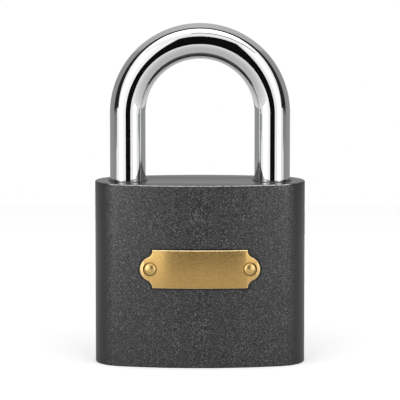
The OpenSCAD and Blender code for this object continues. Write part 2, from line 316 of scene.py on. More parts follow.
@dataclass(frozen=True)
class PlateBrass(Brass):
    """Brushed sheet brass whose bevel is polished and carries a painted highlight, and whose cut edge carries
    painted shade.
    """

    name: str = "plate_brass"
    colour: Colour = (0.86, 0.555, 0.195)
    dull: Colour = (0.79, 0.505, 0.175)
    roughness: float = 0.27
    mark_depth: float = 0.004 * MM
    # Paler colour on the bevel: a painted highlight, the lamps' bright line round the rim.
    bevel: Colour = (0.78, 0.62, 0.36)
    # Near-black colour on the cut edge: painted shade, the dark body and gap beside the plate.
    edge: Colour = (0.045, 0.028, 0.010)
    bevel_roughness: float = 0.22

    def paint_light_and_polish(self, graph: Graph, colour: object, rough: object) -> tuple[object, object]:
        """Polishes the bevel and paints a highlight on it, and paints shade on the cut edge, both told by how
        far they turn from the front.
        """
        facing = graph.node("ShaderNodeNewGeometry").outputs["Normal"]
        facing = graph.node("ShaderNodeSeparateXYZ", {0: facing})
        forward = graph.math("ABSOLUTE", facing.outputs[1])
        bevelled = graph.spread(forward, 0.96, 0.90, 0.0, 1.0)
        shaded_cut_edge = graph.spread(forward, 0.45, 0.30, 0.0, 1.0)
        # Painted highlight on the bevel, then painted shade on the cut edge.
        colour = graph.mix(bevelled, colour, (*self.bevel, 1))
        colour = graph.mix(shaded_cut_edge, colour, (*self.edge, 1))
        even = graph.math("MULTIPLY", graph.math("SUBTRACT", 1.0, bevelled), rough)
        polished = graph.math("MULTIPLY", bevelled, self.bevel_roughness)
        return colour, graph.math("ADD", even, polished)

    def dress(self, graph: Graph, shader: bpy.types.Node, place: bpy.types.NodeSocket) -> None:
        """Sets the shader up with a gloss that the brushing spreads up and down."""
        super().dress(graph, shader, place)
        facing = graph.node("ShaderNodeNewGeometry").outputs["Normal"]
        upright = graph.node("ShaderNodeVectorMath", {0: facing, 1: (1, 0, 0)}, operation="CROSS_PRODUCT")
        graph.tree.links.new(upright.outputs[0], shader.inputs["Tangent"])
        shader.inputs["Anisotropic"].default_value = 1.0


@dataclass(frozen=True)
class RivetBrass(Brass):
    """Brass of a rivet's head, polished on top, with painted shade on the sloping sides round its foot."""

    name: str = "rivet_brass"
    colour: Colour = (0.90, 0.62, 0.25)
    dull: Colour = (0.84, 0.57, 0.22)
    roughness: float = 0.29
    marks: Colour = (1, 1, 1)
    # Dark brown painted shade on the dome's sloping sides.
    rim_shade: Colour = (0.16, 0.085, 0.02)

    def paint_light_and_polish(self, graph: Graph, colour: object, rough: object) -> tuple[object, object]:
        """Paints shade on the sloping foot of the dome, told by how far it turns from the front."""
        facing = graph.node("ShaderNodeNewGeometry").outputs["Normal"]
        facing = graph.node("ShaderNodeSeparateXYZ", {0: facing})
        forward = graph.math("ABSOLUTE", facing.outputs[1])
        # Painted shade: the dome darkens as it turns away from the front.
        foot = graph.spread(forward, 0.95, 0.68, 0.0, 1.0)
        return graph.mix(foot, colour, (*self.rim_shade, 1)), rough


@dataclass(frozen=True)
class Steel(Finish):
    """Plain turned or drawn steel."""

    name: str = "plain_steel"
    colour: Colour = (0.45, 0.46, 0.48)
    roughness: float = 0.32

    def dress(self, graph: Graph, shader: bpy.types.Node, place: bpy.types.NodeSocket) -> None:
        """Sets the shader up."""
        lines = self.grain(graph, self.stretched(graph, place, (0.1, 0.1, 1)), 0.2 * MM)
        dimmed = tuple(0.7 * part for part in self.colour)
        graph.tree.links.new(graph.mix(lines, (*self.colour, 1), (*dimmed, 1)), shader.inputs["Base Color"])
        shader.inputs["Metallic"].default_value = 1
        rough = graph.spread(lines, 0.3, 0.7, self.roughness - 0.08, self.roughness + 0.08)
        graph.tree.links.new(rough, shader.inputs["Roughness"])
        graph.tree.links.new(self.bump(graph, lines, 0.01 * MM, 0.3), shader.inputs["Normal"])


ENAMEL = SpeckledEnamel()
CHROME = BrightChrome()
PLATE_BRASS = PlateBrass()
RIVET_BRASS = RivetBrass()
TURNED_BRASS = Brass(name="turned_brass", colour=(0.68, 0.46, 0.20), roughness=0.28, marks=(1, 1, 0.05))
PLAIN_STEEL = Steel()
SPRING_STEEL = Steel(name="spring_steel", colour=(0.38, 0.38, 0.40), roughness=0.25)


def mesh_object(name: str, mesh: bmesh.types.BMesh, sharp_angle: float = 35) -> bpy.types.Object:
    """Turns a bmesh into a smooth-shaded object in the scene.

    Args:
        name: The object's name.
        mesh: The bmesh, which is freed.
        sharp_angle: Angle in degrees above which an edge stays sharp.

    Returns:
        The new object.
    """
    data = bpy.data.meshes.new(name)
    mesh.to_mesh(data)
    mesh.free()
    made = bpy.data.objects.new(name, data)
    bpy.context.scene.collection.objects.link(made)
    shade(made, sharp_angle)
    return made


def shade(piece: bpy.types.Object, sharp_angle: float) -> None:
    """Shades a piece smooth, apart from edges sharper than an angle in degrees."""
    piece.data.shade_smooth()
    piece.data.set_sharp_from_angle(angle=math.radians(sharp_angle))


def lathe(mesh: bmesh.types.BMesh, profile: Profile, place: Matrix, segments: int = 48) -> None:
    """Adds a closed turned shape to a bmesh.

    Args:
        mesh: The bmesh to add to.
        profile: Radius and height of each ring, from the bottom up. A radius of 0 is a pole.
        place: Where the shape, drawn along Z from the origin, goes.
        segments: Number of sides.
    """
    rings: list[list[bmesh.types.BMVert]] = []
    for radius, height in profile:
        if radius == 0:
            rings.append([mesh.verts.new(place @ Vector((0, 0, height)))])
            continue
        turns = (2 * math.pi * i / segments for i in range(segments))
        rings.append(
            [
                mesh.verts.new(place @ Vector((radius * math.cos(t), radius * math.sin(t), height)))
                for t in turns
            ]
        )
    for low, high in zip(rings, rings[1:]):
        for i in range(segments):
            j = (i + 1) % segments
            corners = [low[i % len(low)], low[j % len(low)], high[j % len(high)], high[i % len(high)]]
            mesh.faces.new(list(dict.fromkeys(corners)))
    for ring, flip in ((rings[0], True), (rings[-1], False)):
        if len(ring) > 1:
            mesh.faces.new(ring[::-1] if flip else ring)


def bar(
    mesh: bmesh.types.BMesh, start: Vector, axis: Axis, length: float, radius: float, segments: int = 40
) -> None:
    """Adds a closed round bar to a bmesh.

    Args:
        mesh: The bmesh to add to.
        start: Middle of the bar's first end.
        axis: The way the bar runs.
        length: Its length.
        radius: Its radius.
        segments: Number of sides.
    """
    lathe(mesh, ((radius, 0), (radius, length)), Matrix.Translation(start) @ axis.turn(), segments)


def fillet(radius: float, steps: int) -> list[tuple[float, float]]:
    """Points of a quarter round, from (0, 0) with a level start to (radius, radius) with an upright end."""
    turns = (math.pi / 2 * i / steps for i in range(steps + 1))
    return [(radius * math.sin(t), radius * (1 - math.cos(t))) for t in turns]


def cut(piece: bpy.types.Object, cutter: bmesh.types.BMesh) -> None:
    """Cuts a closed shape out of a piece for good.

    Args:
        piece: The piece to cut.
        cutter: The shape to cut away, which is freed. Its solids may cross each other.
    """
    bmesh.ops.recalc_face_normals(cutter, faces=cutter.faces)
    tool = mesh_object("cutter", cutter)
    knife = piece.modifiers.new("cut", "BOOLEAN")
    knife.operation = "DIFFERENCE"
    knife.solver = "EXACT"
    knife.use_self = True
    knife.object = tool
    freeze(piece)
    bpy.data.objects.remove(tool)


def freeze(piece: bpy.types.Object) -> None:
    """Replaces a piece's mesh by what its modifiers make of it, and removes them."""
    bpy.context.view_layer.update()
    graph = bpy.context.evaluated_depsgraph_get()
    made = bpy.data.meshes.new_from_object(piece.evaluated_get(graph))
    piece.modifiers.clear()
    piece.data = made


def hand_over(
    piece: bpy.types.Object, body: str, nodes: Iterable[str], finish: Finish
) -> bpy.types.Object:
    """Dresses a finished piece and gives it to the frame.

    Args:
        piece: The piece, in place.
        body: The CAD body that it rides on.
        nodes: The CAD nodes that it stands for.
        finish: Its finish.

    Returns:
        The piece.
    """
    piece.data.materials.clear()
    piece.data.materials.append(finish.build())
    for polygon in piece.data.polygons:
        polygon.material_index = 0
    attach(piece, body)
    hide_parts(*nodes)
    LOG.info("%s: %d faces, rides on %s", piece.name, len(piece.data.polygons), body)
    return piece


@dataclass(frozen=True)
class Outline:
    """The body's outline seen from above: two wide faces that run smoothly into two round ends."""

    width: float
    depth: float
    end_radius: float

    @property
    def end_x(self) -> float:
        """Distance from the middle to the centre of each round end."""
        return self.width / 2 - self.end_radius

    @property
    def face_radius(self) -> float:
        """Radius of the front and back faces."""
        half = self.depth / 2
        return (self.end_x**2 + half**2 - self.end_radius**2) / (2 * (half - self.end_radius))

    @property
    def face_centre(self) -> float:
        """Distance from the middle to the centre of each face's arc."""
        return self.face_radius - self.depth / 2

    @property
    def join_angle(self) -> float:
        """Angle at which the faces run into the ends, from +X."""
        return math.atan2(self.face_centre, self.end_x)

    def front_y(self, x: float, proud: float) -> float:
        """Y of a surface that stands a little proud of the front face, at one X."""
        return self.face_centre - math.sqrt((self.face_radius + proud) ** 2 - x**2)

    def ring(self, inset: float, spacing: float) -> list[tuple[Vector, Vector]]:
        """Walks round the outline.

        Args:
            inset: Distance that the outline is moved inwards.
            spacing: Distance between points on the full outline.

        Returns:
            Points and outward normals, anticlockwise from the right end's front join.
        """
        join = self.join_angle
        arcs = (
            (self.end_x, 0, self.end_radius, -join, join),
            (0, -self.face_centre, self.face_radius, join, math.pi - join),
            (-self.end_x, 0, self.end_radius, math.pi - join, math.pi + join),
            (0, self.face_centre, self.face_radius, math.pi + join, 2 * math.pi - join),
        )
        points = []
        for x, y, radius, start, end in arcs:
            steps = math.ceil(radius * (end - start) / spacing)
            for i in range(steps):
                turn = start + (end - start) * i / steps
                out = Vector((math.cos(turn), math.sin(turn), 0))
                points.append((Vector((x, y, 0)) + (radius - inset) * out, out))
        return points


@dataclass(frozen=True)
class CastBody:
    """The body casting, with its rounded edges, its wavy cast walls and its bores."""

    outline: Outline
    height: float
    plate: "Nameplate"
    edge_radius: float = 0.45 * MM
    spacing: float = 0.8 * MM
    wave_size: float = 3.2 * MM
    wave_depth: float = 0.04 * MM
    ripple_size: float = 1.3 * MM
    ripple_depth: float = 0.03 * MM
    mouth_radius: float = 1.0 * MM
    groove_width: float = 0.42 * MM
    groove_depth: float = 0.70 * MM
    leg_gap: float = 0.3 * MM
    bolt_gap: float = 0.1 * MM
    running_gap: float = 0.05 * MM
    seat_gap: float = 0.03 * MM
    free_gap: float = 0.3 * MM
    past: float = 3 * MM

    def build(self) -> bpy.types.Object:
        """Makes the casting and gives it to the frame."""
        piece = mesh_object("body_casting_shell", self.envelope())
        cut(piece, self.bores())
        shade(piece, 35)
        return hand_over(piece, "casing", ("body_casting",), ENAMEL)

    def sections(self) -> list[tuple[float, float]]:
        """Inset and height of each ring of the envelope, from the bottom up."""
        round_up = [(self.edge_radius - x, z) for x, z in fillet(self.edge_radius, 7)]
        straight = self.height - 2 * self.edge_radius
        steps = math.ceil(straight / self.spacing)
        walls = [(0.0, self.edge_radius + straight * i / steps) for i in range(1, steps)]
        round_in = [(inset, self.height - z) for inset, z in reversed(round_up)]
        return round_up + walls + round_in

    def sunk(self, point: Vector, rim: float) -> float:
        """How far the cast skin lies inside the true surface at a point.

        Args:
            point: The point.
            rim: 0 at the flat faces and 1 on the walls.
        """
        wave = 0.5 + 0.5 * noise.noise(point / self.wave_size)
        ripple = 0.5 + 0.5 * noise.noise(point / self.ripple_size + Vector((7, 3, 5)))
        return rim * (self.wave_depth * wave + self.ripple_depth * ripple)

    def envelope(self) -> bmesh.types.BMesh:
        """The casting's closed outer skin, with no bores."""
        mesh = bmesh.new()
        rings = []
        for inset, z in self.sections():
            rim = 1 - (inset / self.edge_radius) ** 2
            ring = []
            for point, out in self.outline.ring(inset, self.spacing):
                point = point + Vector((0, 0, z))
                ring.append(mesh.verts.new(point - out * self.sunk(point, rim)))
            rings.append(ring)
        for low, high in zip(rings, rings[1:]):
            for i in range(len(low)):
                j = (i + 1) % len(low)
                mesh.faces.new((low[i], low[j], high[j], high[i]))
        mesh.faces.new(rings[0][::-1])
        mesh.faces.new(rings[-1])
        return mesh

    def bores(self) -> bmesh.types.BMesh:
        """Everything that is cut out of the casting."""
        mesh = bmesh.new()
        self.plate_groove(mesh)
        self.leg_bores(mesh)
        self.plug_bores(mesh)
        self.side_bores(mesh)
        return mesh

    def plate_groove(self, mesh: bmesh.types.BMesh) -> None:
        """Adds the narrow groove that runs round the nameplate."""
        rings = []
        for inset, lift in (
            (-self.groove_width, MM),
            (-self.groove_width, -self.groove_depth),
            (self.groove_width, -self.groove_depth),
            (self.groove_width, MM),
        ):
            points = (
                (x, self.outline.front_y(x, lift), z + self.plate.middle_z) for x, z in self.plate.ring(inset)
            )
            rings.append([mesh.verts.new(point) for point in points])
        for near, far in zip(rings, rings[1:] + rings[:1]):
            for i in range(len(near)):
                j = (i + 1) % len(near)
                mesh.faces.new((near[i], near[j], far[j], far[i]))

    def leg_bores(self, mesh: bmesh.types.BMesh) -> None:
        """Adds the two bores for the shackle's legs, with rounded mouths."""
        low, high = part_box("shackle")
        radius = (high.y - low.y) / 2 + self.leg_gap
        leg_x = high.x - (high.y - low.y) / 2
        toe_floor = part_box("bolt")[0].z - 4.8 * MM
        heel_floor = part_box("shackle_spring")[0].z - self.seat_gap
        mouth = self.mouth_radius
        for x, floor in ((leg_x, toe_floor), (-leg_x, heel_floor)):
            depth = self.height - floor
            profile = [(radius, 0), *self.mouth_curve(radius, depth), (radius + mouth, depth + self.past)]
            lathe(mesh, profile, Matrix.Translation((x, 0, floor)), 72)

    def mouth_curve(self, radius: float, depth: float) -> list[tuple[float, float]]:
        """The rounded mouth of a bore, from its wall up to the face that it opens in."""
        mouth = self.mouth_radius
        turns = (math.pi / 2 * i / 6 for i in range(7))
        return [(radius + mouth * (1 - math.cos(t)), depth - mouth + mouth * math.sin(t)) for t in turns]

    def plug_bores(self, mesh: bmesh.types.BMesh) -> None:
        """Adds the plug's bore from below, the cam's well and the five pin chambers."""
        low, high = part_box("key_plug")
        radius = (high.x - low.x) / 2 + self.running_gap
        cam_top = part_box("bolt")[0].z - 2.5 * MM
        bar(mesh, Vector((0, 0, -self.past)), Axis.Z, cam_top + 2 * self.free_gap + self.past, radius, 72)
        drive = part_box("plug_cam")[1].z
        bar(mesh, Vector((0, 0, cam_top - self.free_gap)), Axis.Z, drive + 1 * MM - cam_top, 4.55 * MM)
        for i in range(1, 6):
            pin_low, pin_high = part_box(f"driver_pin_{i}")
            middle = (pin_low + pin_high) / 2
            chamber = (pin_high.x - pin_low.x) / 2 + self.running_gap
            bar(mesh, Vector((0, 2 * MM, middle.z)), Axis.Y, self.outline.depth, chamber, 32)

    def side_bores(self, mesh: bmesh.types.BMesh) -> None:
        """Adds the bolt's bore and the two keeper pins' bores."""
        low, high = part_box("bolt")
        start = Vector((low.x - 2 * self.free_gap, 0, (low.z + high.z) / 2))
        bar(mesh, start, Axis.X, self.outline.width, (high.z - low.z) / 2 + self.bolt_gap, 56)
        for pin in ("shackle_keeper_pin", "plug_keeper_pin"):
            low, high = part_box(pin)
            start = Vector(((low.x + high.x) / 2, low.y - self.seat_gap, (low.z + high.z) / 2))
            bar(mesh, start, Axis.Y, self.outline.depth, (high.z - low.z) / 2 + self.seat_gap)


@dataclass(frozen=True)
class Nameplate:
    """The bare brass nameplate: straight edges, hollow corners, round ends and a bright bevelled rim."""

    outline: Outline
    height: float
    middle_z: float
    thickness: float = 0.8 * MM
    gap: float = 0.095 * MM
    straight: float = 34 * MM
    cove_radius: float = 3 * MM
    end_x: float = 16.88 * MM
    bevel: float = 0.30 * MM
    bevel_drop: float = 0.28 * MM

    @property
    def cove_x(self) -> float:
        """Distance from the middle to the centre of each hollow corner."""
        return self.straight / 2 + self.cove_radius

    @property
    def join_angle(self) -> float:
        """Angle at which a round end runs into a hollow corner, from +X."""
        return math.atan2(self.height / 2, self.cove_x - self.end_x)

    @property
    def end_radius(self) -> float:
        """Radius of the round ends, which touch the hollow corners."""
        return math.hypot(self.height / 2, self.cove_x - self.end_x) - self.cove_radius

    def quarter(self, inset: float) -> list[tuple[float, float]]:
        """The plate's outline from the middle of its right end up to the middle of its top edge.

        Args:
            inset: Distance that the outline is moved inwards.
        """
        join, half = self.join_angle, self.height / 2
        points = []
        for i in range(25):
            turn = join * i / 24
            reach = self.end_radius - inset
            points.append((self.end_x + reach * math.cos(turn), reach * math.sin(turn)))
        start = join + math.pi
        reach = self.cove_radius + inset
        end = math.pi + math.asin(inset / reach)
        for i in range(1, 13):
            turn = start + (end - start) * i / 12
            points.append((self.cove_x + reach * math.cos(turn), half + reach * math.sin(turn)))
        corner = points[-1][0]
        points += [(corner * (1 - i / 40), half - inset) for i in range(1, 41)]
        return points

    def ring(self, inset: float) -> list[tuple[float, float]]:
        """The plate's whole outline, anticlockwise seen from the front."""
        quarter = self.quarter(inset)
        top = quarter + [(-x, z) for x, z in reversed(quarter[:-1])]
        return top + [(x, -z) for x, z in reversed(top[1:-1])]

    def build(self) -> bpy.types.Object:
        """Makes the plate and gives it to the frame."""
        mesh = bmesh.new()
        levels = [(0.0, 0.0)]
        for share, drop in ((0.0, 1.0), (0.12, 0.78), (0.5, 0.36), (0.85, 0.06), (1.0, 0.0)):
            levels.append((self.bevel * share, self.thickness - self.bevel_drop * drop))
        rings = [[mesh.verts.new((x, z, lift)) for x, z in self.ring(inset)] for inset, lift in levels]
        for low, high in zip(rings, rings[1:]):
            for i in range(len(low)):
                j = (i + 1) % len(low)
                mesh.faces.new((low[i], low[j], high[j], high[i]))
        mesh.faces.new(rings[0][::-1])
        mesh.faces.new(rings[-1])
        piece = mesh_object("nameplate_sheet", mesh)
        self.drill(piece)
        self.bend(piece)
        return hand_over(piece, "casing", ("nameplate",), PLATE_BRASS)

    def drill(self, piece: bpy.types.Object) -> None:
        """Cuts the two rivet holes while the plate is flat."""
        cutter = bmesh.new()
        for name in ("rivet_left", "rivet_right"):
            low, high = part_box(name)
            bar(cutter, Vector(((low.x + high.x) / 2, 0, -MM)), Axis.Z, 3 * MM, 1.25 * MM)
        cut(piece, cutter)

    def bend(self, piece: bpy.types.Object) -> None:
        """Slices the flat plate into narrow strips and bends it to the front face."""
        mesh = bmesh.new()
        mesh.from_mesh(piece.data)
        step = 0.9 * MM
        count = math.floor((self.end_x + self.end_radius) / step)
        for i in range(-count, count + 1):
            geometry = mesh.verts[:] + mesh.edges[:] + mesh.faces[:]
            bmesh.ops.bisect_plane(mesh, geom=geometry, plane_co=(i * step, 0, 0), plane_no=(1, 0, 0))
        for vert in mesh.verts:
            x, z, lift = vert.co
            vert.co = (x, self.outline.front_y(x, self.gap + lift), self.middle_z + z)
        bmesh.ops.recalc_face_normals(mesh, faces=mesh.faces)
        mesh.to_mesh(piece.data)
        mesh.free()
        shade(piece, 22)


class GeometryTree(Graph):
    """A geometry node tree with named inputs, run once on an empty object."""

    def __init__(self, name: str) -> None:
        """Starts an empty tree with a geometry output.

        Args:
            name: The tree's name.
        """
        super().__init__(bpy.data.node_groups.new(name, "GeometryNodeTree"))
        self.tree.interface.new_socket("Geometry", in_out="OUTPUT", socket_type="NodeSocketGeometry")
        self.values: dict[str, object] = {}
        self.inputs = self.node("NodeGroupInput")
        self.output = self.node("NodeGroupOutput")

    def number(self, name: str, value: float) -> bpy.types.NodeSocket:
        """Adds a named number to the tree's inputs and returns its socket."""
        return self.add_input(name, "NodeSocketFloat", value)

    def add_input(self, name: str, kind: str, value: object) -> bpy.types.NodeSocket:
        """Adds a named input to the tree.

        Args:
            name: The input's name.
            kind: Its socket type.
            value: The value that this object gives it.

        Returns:
            The socket to read it from.
        """
        socket = self.tree.interface.new_socket(name, in_out="INPUT", socket_type=kind)
        self.values[socket.identifier] = value
        return next(s for s in self.inputs.outputs if s.identifier == socket.identifier)

    def run(self, name: str, geometry: bpy.types.NodeSocket, finish: Finish) -> bpy.types.Object:
        """Ends the tree, runs it and makes its result a plain mesh.

        Args:
            name: Name of the finished object.
            geometry: The tree's last geometry.
            finish: The finish that the tree sets.

        Returns:
            The finished object.
        """
        material = self.add_input("Finish", "NodeSocketMaterial", finish.build())
        real = self.node("GeometryNodeRealizeInstances", {0: geometry})
        dressed = self.node("GeometryNodeSetMaterial", {0: real.outputs[0], 2: material})
        self.tree.links.new(dressed.outputs[0], self.output.inputs[0])
        made = bpy.data.objects.new(name, bpy.data.meshes.new(name))
        bpy.context.scene.collection.objects.link(made)
        modifier = made.modifiers.new(name, "NODES")
        modifier.node_group = self.tree
        for identifier, value in self.values.items():
            modifier[identifier] = value
        freeze(made)
        made.data.name = name
        return made


@dataclass(frozen=True)
class Shackle:
    """The shackle: one round bar swept along two legs and an arch, notched and grooved."""

    rod_radius: float
    leg_x: float
    top: float
    toe_end: float
    heel_end: float
    lift: float
    spacing: float = 0.7 * MM
    tip_round: float = 1.0 * MM
    groove_depth: float = 2 * MM
    groove_height: float = 4.4 * MM
    collar: float = 2.8 * MM
    notch_depth: float = 3.5 * MM
    notch_gap: float = 1.0 * MM

    @property
    def arch_z(self) -> float:
        """Height of the arch's centre."""
        return self.top - self.rod_radius - self.leg_x

    def build(self) -> bpy.types.Object:
        """Makes the shackle and gives it to the frame."""
        piece = self.sweep()
        cut(piece, self.notches())
        shade(piece, 40)
        return hand_over(piece, "shackle", ("shackle",), CHROME)

    def sweep(self) -> bpy.types.Object:
        """Sweeps the round bar from the long leg's end, over the arch, to the short leg's end."""
        tree = GeometryTree("shackle_bar")
        radius = tree.number("Rod radius", self.rod_radius)
        leg_x = tree.number("Leg distance", self.leg_x)
        arch_z = tree.number("Arch height", self.arch_z)
        heel_end = tree.number("Heel end", self.heel_end)
        toe_end = tree.number("Toe end", self.toe_end)
        tip = tree.number("Tip rounding", self.tip_round)
        heel = tree.math("SUBTRACT", arch_z, heel_end)
        toe = tree.math("SUBTRACT", arch_z, toe_end)
        arch = tree.math("MULTIPLY", leg_x, math.pi)
        total = tree.math("ADD", tree.math("ADD", heel, toe), arch)
        line = tree.node("GeometryNodeCurvePrimitiveLine", {1: (0, 0, 1)})
        straight = 2 * self.arch_z - self.heel_end - self.toe_end
        count = math.ceil((straight + math.pi * self.leg_x) / self.spacing)
        path = tree.node("GeometryNodeResampleCurve", {0: line.outputs[0], 2: count})
        along = tree.math("MULTIPLY", tree.node("GeometryNodeSplineParameter").outputs["Factor"], total)
        past_heel = tree.math("SUBTRACT", along, heel)
        turn = tree.math("DIVIDE", past_heel, leg_x)
        turn = tree.math("MINIMUM", tree.math("MAXIMUM", turn, 0.0), math.pi)
        below = tree.math(
            "ADD",
            tree.math("MAXIMUM", tree.math("MULTIPLY", past_heel, -1.0), 0.0),
            tree.math("MAXIMUM", tree.math("SUBTRACT", past_heel, arch), 0.0),
        )
        x = tree.math("MULTIPLY", tree.math("COSINE", turn), tree.math("MULTIPLY", leg_x, -1.0))
        rise = tree.math("MULTIPLY", tree.math("SINE", turn), leg_x)
        z = tree.math("SUBTRACT", tree.math("ADD", arch_z, rise), below)
        place = tree.node("ShaderNodeCombineXYZ", {0: x, 2: z})
        bent = tree.node("GeometryNodeSetPosition", {0: path.outputs[0], 2: place.outputs[0]})
        to_tip = tree.math("MINIMUM", along, tree.math("SUBTRACT", total, along))
        narrow = tree.math("MAXIMUM", tree.math("SUBTRACT", tip, to_tip), 0.0)
        scale = tree.math("SUBTRACT", 1.0, tree.math("DIVIDE", narrow, radius))
        rod = tree.node("GeometryNodeCurvePrimitiveCircle", {"Resolution": 96, "Radius": radius})
        skin = tree.node(
            "GeometryNodeCurveToMesh",
            {0: bent.outputs[0], 1: rod.outputs[0], "Scale": scale, "Fill Caps": True},
        )
        return tree.run("shackle_bar", skin.outputs[0], CHROME)

    def notches(self) -> bmesh.types.BMesh:
        """The bolt's notch, and the flat and ring groove that the keeper pin runs in."""
        mesh = bmesh.new()
        low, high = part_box("bolt")
        reach = 2 * self.rod_radius
        notch_low = Vector((self.leg_x - reach, -reach, low.z - self.notch_gap))
        notch_high = Vector((self.leg_x - self.rod_radius + self.notch_depth, reach, high.z + self.notch_gap))
        self.block(mesh, notch_low, notch_high)
        groove_z = self.heel_end + self.collar
        flat_top = groove_z + self.groove_height / 2 + self.lift + 2.4 * MM
        flat_x = -self.leg_x + self.rod_radius - self.groove_depth
        self.block(mesh, Vector((flat_x, -reach, groove_z)), Vector((flat_x + reach, reach, flat_top)))
        inner = self.rod_radius - self.groove_depth
        self.groove(mesh, inner, reach, groove_z)
        return mesh

    def groove(self, mesh: bmesh.types.BMesh, inner: float, outer: float, floor: float) -> None:
        """Adds a square-sided ring round the long leg to a cutter.

        Args:
            mesh: The cutter.
            inner: The ring's inner radius.
            outer: Its outer radius.
            floor: Its lowest height.
        """
        corners = ((inner, 0), (outer, 0), (outer, self.groove_height), (inner, self.groove_height))
        rings = []
        for radius, lift in corners:
            turns = (2 * math.pi * i / 72 for i in range(72))
            rings.append(
                [
                    mesh.verts.new((radius * math.cos(t) - self.leg_x, radius * math.sin(t), floor + lift))
                    for t in turns
                ]
            )
        for near, far in zip(rings, rings[1:] + rings[:1]):
            for i in range(72):
                j = (i + 1) % 72
                mesh.faces.new((near[i], near[j], far[j], far[i]))

    def block(self, mesh: bmesh.types.BMesh, low: Vector, high: Vector) -> None:
        """Adds a rectangular block between two corners to a cutter."""
        place = Matrix.Translation((low + high) / 2) @ Matrix.Diagonal((*(high - low), 1))
        bmesh.ops.create_cube(mesh, size=1, matrix=place)


@dataclass(frozen=True)
class Rivets:
    """The two brass rivets that hold the nameplate, with domed heads."""

    outline: Outline
    spacing: float
    middle_z: float
    plate_proud: float
    head_radius: float = 2.48 * MM
    head_height: float = 1.19 * MM
    shank_radius: float = 1.2 * MM
    shank_length: float = 5.8 * MM

    def build(self) -> None:
        """Makes both rivets and gives them to the frame."""
        for side in Side:
            name = f"rivet_{side.name.lower()}"
            piece = self.place(name, side)
            hand_over(piece, "casing", (name,), RIVET_BRASS)

    def profile(self) -> list[tuple[float, float]]:
        """The rivet's half section, from the end of its shank to the top of its head."""
        turns = [math.pi / 2 * i / 18 for i in range(18)]
        dome = [(self.head_radius * math.cos(t), self.head_height * math.sin(t)) for t in turns]
        dome.append((0.0, self.head_height))
        under = 0.03 * MM
        shank = [
            (self.shank_radius - 0.3 * MM, -self.shank_length),
            (self.shank_radius, 0.3 * MM - self.shank_length),
            (self.shank_radius, under),
        ]
        return shank + [(self.head_radius - 0.12 * MM, under)] + [(r, max(z, 2 * under)) for r, z in dome]

    def place(self, name: str, side: Side) -> bpy.types.Object:
        """Puts a turned rivet on the plate with a geometry node tree.

        Args:
            name: The CAD node that the rivet stands for.
            side: Which end of the plate it is on.

        Returns:
            The rivet as a plain mesh.
        """
        mesh = bmesh.new()
        lathe(mesh, self.profile(), Matrix.Identity(4), 64)
        bmesh.ops.recalc_face_normals(mesh, faces=mesh.faces)
        blank = mesh_object("rivet_blank", mesh, 50)
        reach = self.outline.face_radius + self.plate_proud
        turn = side.value * math.asin(self.spacing / 2 / reach)
        tree = GeometryTree(name)
        across = tree.number("Turn round the face", turn)
        seat = tree.number("Radius of the plate's face", reach)
        centre = tree.number("Centre of the face", self.outline.face_centre)
        height = tree.number("Height", self.middle_z)
        x = tree.math("MULTIPLY", tree.math("SINE", across), seat)
        y = tree.math("SUBTRACT", centre, tree.math("MULTIPLY", tree.math("COSINE", across), seat))
        spot = tree.node("ShaderNodeCombineXYZ", {0: x, 1: y, 2: height})
        points = tree.node("GeometryNodePoints", {"Count": 1, "Position": spot.outputs[0]})
        facing = tree.node("ShaderNodeCombineXYZ", {0: math.pi / 2, 2: across})
        turned = tree.node("FunctionNodeEulerToRotation", {0: facing.outputs[0]})
        source = tree.add_input("Rivet", "NodeSocketObject", blank)
        info = tree.node("GeometryNodeObjectInfo", {0: source})
        placed = tree.node(
            "GeometryNodeInstanceOnPoints",
            {
                "Points": points.outputs[0],
                "Instance": info.outputs["Geometry"],
                "Rotation": turned.outputs[0],
            },
        )
        made = tree.run(f"{name}_dome", placed.outputs[0], RIVET_BRASS)
        bpy.data.objects.remove(blank)
        return made


@dataclass(frozen=True)
class CoilSpring:
    """A coil spring wound by a geometry node tree."""

    name: str
    coil_radius: float
    wire_radius: float
    length: float
    turns: int
    axis: Axis
    feet: tuple[Vector, ...]

    def build(self, body: str, nodes: Iterable[str]) -> bpy.types.Object:
        """Winds the spring at each of its places and gives the result to the frame.

        Args:
            body: The CAD body that it rides on.
            nodes: The CAD nodes that it stands for.

        Returns:
            The finished object.
        """
        tree = GeometryTree(self.name)
        coil = tree.number("Coil radius", self.coil_radius)
        wire = tree.number("Wire radius", self.wire_radius)
        rise = tree.number("Rise", self.length - 2 * self.wire_radius)
        spiral = tree.node(
            "GeometryNodeCurveSpiral",
            {
                "Resolution": 28,
                "Rotations": float(self.turns),
                "Start Radius": coil,
                "End Radius": coil,
                "Height": rise,
            },
        )
        section = tree.node("GeometryNodeCurvePrimitiveCircle", {"Resolution": 10, "Radius": wire})
        skin = tree.node(
            "GeometryNodeCurveToMesh", {0: spiral.outputs[0], 1: section.outputs[0], "Fill Caps": True}
        )
        smooth = tree.node("GeometryNodeSetShadeSmooth", {0: skin.outputs[0]})
        facing = self.axis.turn().to_euler()
        join = tree.node("GeometryNodeJoinGeometry")
        for foot in self.feet:
            start = foot + self.axis.turn() @ Vector((0, 0, self.wire_radius))
            placed = tree.node(
                "GeometryNodeTransform", {0: smooth.outputs[0], "Translation": start, "Rotation": facing}
            )
            tree.tree.links.new(placed.outputs[0], join.inputs[0])
        made = tree.run(f"{self.name}_wire", join.outputs[0], SPRING_STEEL)
        return hand_over(made, body, nodes, SPRING_STEEL)


